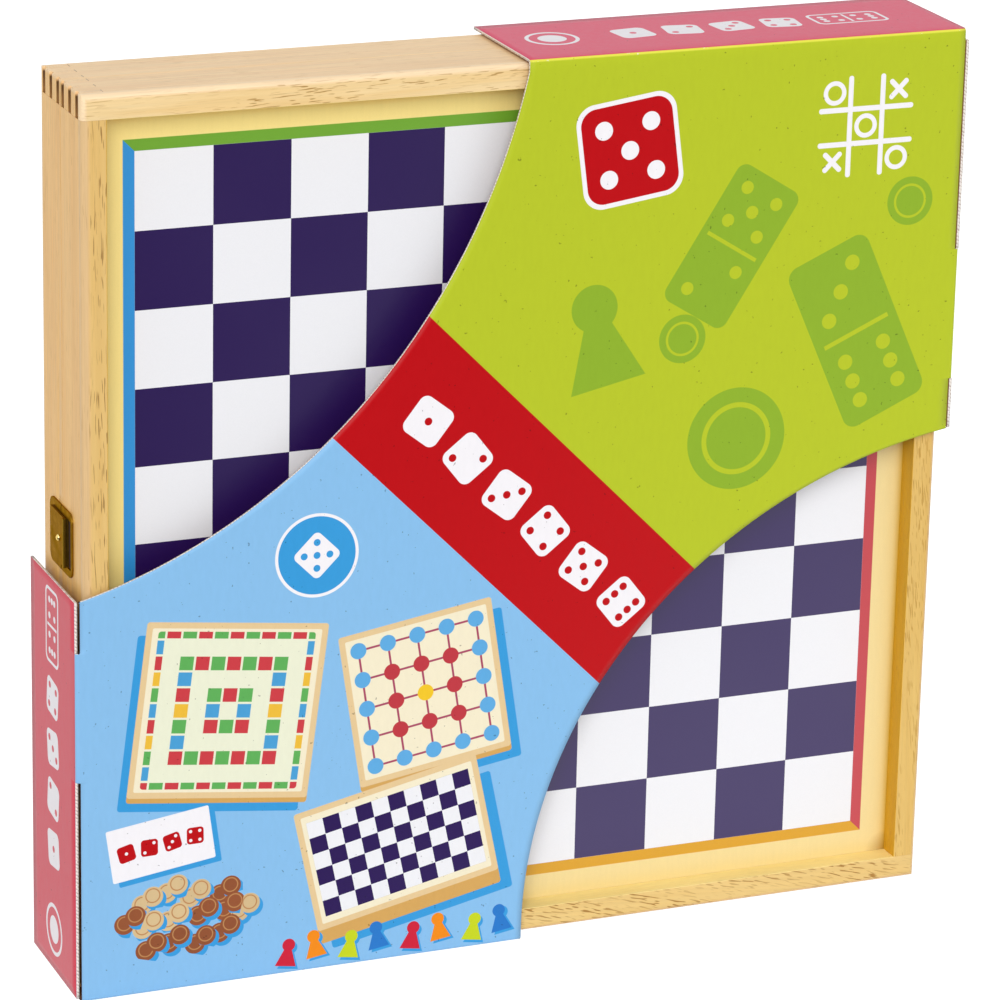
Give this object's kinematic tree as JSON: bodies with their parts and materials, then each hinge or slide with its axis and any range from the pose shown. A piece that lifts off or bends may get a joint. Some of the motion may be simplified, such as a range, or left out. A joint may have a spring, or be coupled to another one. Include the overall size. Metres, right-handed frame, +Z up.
{
  "type": "games compendium box",
  "caption": "Flat wooden games box that opens like a book, with printed boards let into both faces, a brass clasp, game pieces inside and a folded card sleeve.",
  "frame": {"origin": "middle of the underside of the whole part as it stands, on the seam plane between the two trays", "axes": "+X to the hinged side, seen from the front; +Y from the front board to the back board; +Z up"},
  "size_m": [0.297, 0.0472, 0.2932],
  "materials": {
    "wood_rail": "clear satin lacquer",
    "printed_board": "printed and lacquered fibreboard",
    "hinge_brass": "satin",
    "clasp_brass": "satin, slightly tarnished",
    "printed_card": "colour print with a light gloss",
    "light_wood": "satin lacquer",
    "dark_wood": "stained, satin lacquer",
    "paper": "matt",
    "dice_plastic": "gloss",
    "red_paint": "painted, satin",
    "orange_paint": "painted, satin",
    "green_paint": "painted, satin",
    "blue_paint": "painted, satin"
  },
  "bodies": {
    "front_tray": {"front_top_rail": "wood_rail", "front_foot_rail": "wood_rail", "front_left_rail": "wood_rail", "front_right_rail": "wood_rail", "front_board": "printed_board", "upper_hinge_front_leaf": "hinge_brass", "upper_hinge_pin": "hinge_brass", "lower_hinge_front_leaf": "hinge_brass", "lower_hinge_pin": "hinge_brass", "hinge_screws_front": "hinge_brass", "clasp_catch": "clasp_brass", "clasp_nails_front": "clasp_brass", "draughtsmen_light": "light_wood", "draughtsmen_dark": "dark_wood", "rules_booklet": "paper", "die_1": "dice_plastic", "die_2": "dice_plastic", "die_3": "dice_plastic", "die_4": "dice_plastic", "die_5": "dice_plastic", "horse_pawns_red": "red_paint", "horse_pawns_orange": "orange_paint", "horse_pawns_green": "green_paint", "horse_pawns_blue": "blue_paint", "goose_pawn_red": "red_paint", "goose_pawn_orange": "orange_paint", "goose_pawn_green": "green_paint", "goose_pawn_blue": "blue_paint"},
    "back_tray": {"back_top_rail": "wood_rail", "back_foot_rail": "wood_rail", "back_left_rail": "wood_rail", "back_right_rail": "wood_rail", "back_board": "printed_board", "upper_hinge_back_leaf": "hinge_brass", "lower_hinge_back_leaf": "hinge_brass", "hinge_screws_back": "hinge_brass", "clasp_base": "clasp_brass", "clasp_pin": "clasp_brass", "clasp_nails_back": "clasp_brass"},
    "clasp_flap": {"clasp_flap": "clasp_brass", "clasp_button": "clasp_brass"},
    "card_sleeve": {"sleeve_front_panel": "printed_card", "sleeve_left_flap": "printed_card", "sleeve_right_flap": "printed_card", "sleeve_top_flap": "printed_card", "sleeve_foot_flap": "printed_card"}
  },
  "joints": [
    {"name": "lid_hinge", "type": "hinge", "parent": "front_tray", "child": "back_tray", "pos_m": [0.147, 0, 0.1466], "axis": [0, 0, -1], "range_deg": [0, 180]},
    {"name": "clasp_hinge", "type": "hinge", "parent": "back_tray", "child": "clasp_flap", "pos_m": [-0.14655, 0.0098, 0.1466], "axis": [0, 0, -1], "range_deg": [0, 150]},
    {"name": "sleeve_slide", "type": "slide", "parent": "front_tray", "child": "card_sleeve", "axis": [0, -1, 0], "range_m": [0, 0.06]}
  ]
}
